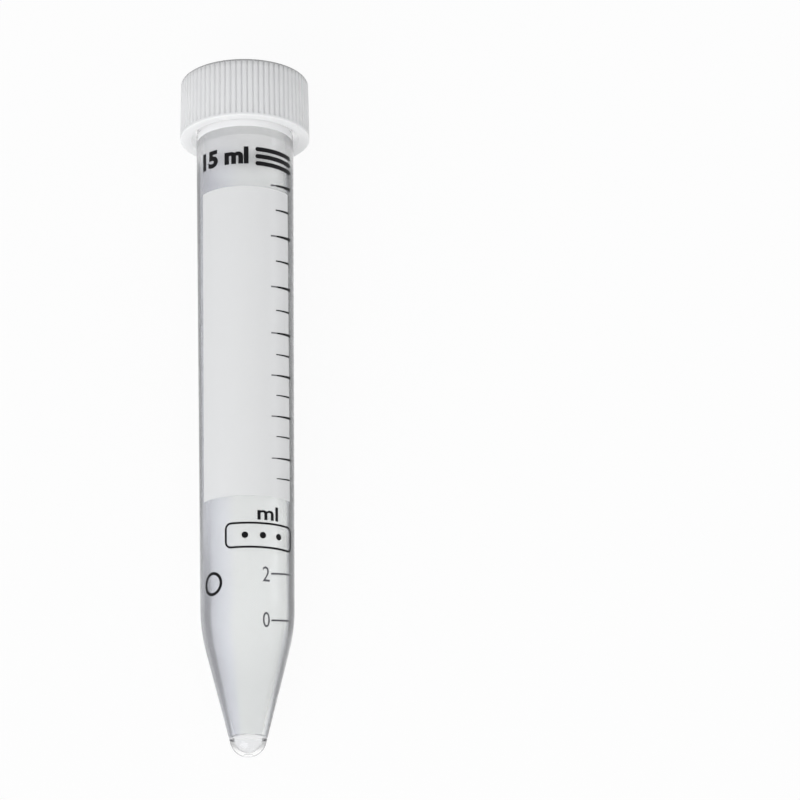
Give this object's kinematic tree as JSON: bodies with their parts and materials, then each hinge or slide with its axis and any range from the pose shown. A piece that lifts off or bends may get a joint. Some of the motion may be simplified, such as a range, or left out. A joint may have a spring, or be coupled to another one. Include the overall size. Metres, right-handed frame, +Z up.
{
  "type": "15 ml conical tube",
  "caption": "Clear plastic laboratory tube with a long tapering body, a conical bottom with a round tip and a ribbed white screw cap, lying on its side.",
  "frame": {"origin": "under the middle of the whole tube, on the table it lies on", "axes": "+X runs from the tip towards the cap, +Z is up; the tube's own axis rises 2.4 degrees towards the cap"},
  "size_m": [0.1198, 0.0228, 0.0231],
  "materials": {
    "tube": "clear, smooth and glossy, slightly cool",
    "cap": "white, softly satin"
  },
  "bodies": {
    "tube": {"tube": "tube"},
    "cap": {"cap": "cap"}
  },
  "joints": [
    {"name": "cap_lift", "type": "slide", "parent": "tube", "child": "cap", "axis": [0.9991, 0, 0.0419], "range_m": [0, 0.02]}
  ]
}
